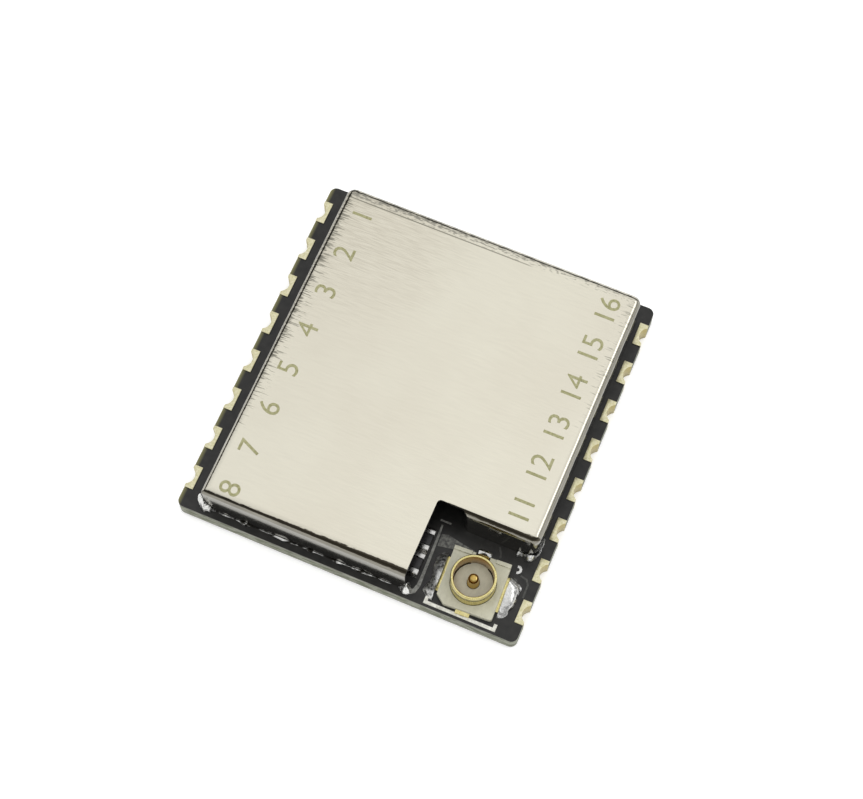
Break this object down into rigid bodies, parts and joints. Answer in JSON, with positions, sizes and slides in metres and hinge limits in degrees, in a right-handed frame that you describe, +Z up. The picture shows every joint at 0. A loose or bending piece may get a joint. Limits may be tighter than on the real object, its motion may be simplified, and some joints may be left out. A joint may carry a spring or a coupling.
{
  "type": "radio module",
  "caption": "Surface-mount radio module: black board with plated half-holes along its long sides, a stamped shield can and a coaxial antenna receptacle in a corner bay.",
  "frame": {"origin": "centre of the underside, in the plane of the soldering lands", "axes": "+Z up out of the can's top, +Y along the rows of half-holes away from the receptacle, +X to the right seen from above, towards the receptacle's side"},
  "size_m": [0.016, 0.0168, 0.0032],
  "materials": {
    "board_laminate": "satin black solder mask over glass-fibre laminate",
    "pad_gold": "immersion gold over copper, satin",
    "can_tinned_steel": "rolled and tinned sheet, fine brushed grain",
    "housing_moulding": "moulded grey-beige polymer",
    "shell_gold": "gold plated, bright",
    "pin_gold": "gold plated, bright",
    "solder_alloy": "reflowed, glossy and lumpy",
    "resistor_coating": "dark glazed coating",
    "resistor_tin": "tinned end caps",
    "chip_moulding": "matt moulding compound",
    "crystal_ceramic": "matt ceramic",
    "crystal_lid_metal": "plated lid, satin",
    "inductor_ferrite": "matt ferrite",
    "filter_ceramic": "matt ceramic"
  },
  "bodies": {
    "root": {"board": "board_laminate", "pad_l1": "pad_gold", "pad_l2": "pad_gold", "pad_l3": "pad_gold", "pad_l4": "pad_gold", "pad_l5": "pad_gold", "pad_l6": "pad_gold", "pad_l7": "pad_gold", "pad_l8": "pad_gold", "pad_r1": "pad_gold", "pad_r2": "pad_gold", "pad_r3": "pad_gold", "pad_r4": "pad_gold", "pad_r5": "pad_gold", "pad_r6": "pad_gold", "pad_r7": "pad_gold", "pad_r8": "pad_gold", "shield_can": "can_tinned_steel", "connector_housing": "housing_moulding", "connector_shell": "shell_gold", "connector_pin": "pin_gold", "solder_can_bay": "solder_alloy", "solder_can_corner": "solder_alloy", "solder_can_end": "solder_alloy", "solder_can_front": "solder_alloy", "solder_shell_left": "solder_alloy", "solder_shell_right": "solder_alloy", "solder_signal": "solder_alloy", "resistor_1_body": "resistor_coating", "resistor_1_cap_back": "resistor_tin", "resistor_1_cap_front": "resistor_tin", "resistor_2_body": "resistor_coating", "resistor_2_cap_back": "resistor_tin", "resistor_2_cap_front": "resistor_tin", "transceiver_chip": "chip_moulding", "switch_chip": "chip_moulding", "crystal_base": "crystal_ceramic", "crystal_lid": "crystal_lid_metal", "inductor": "inductor_ferrite", "filter_1": "filter_ceramic", "filter_2": "filter_ceramic", "filter_3": "filter_ceramic"}
  },
  "joints": []
}
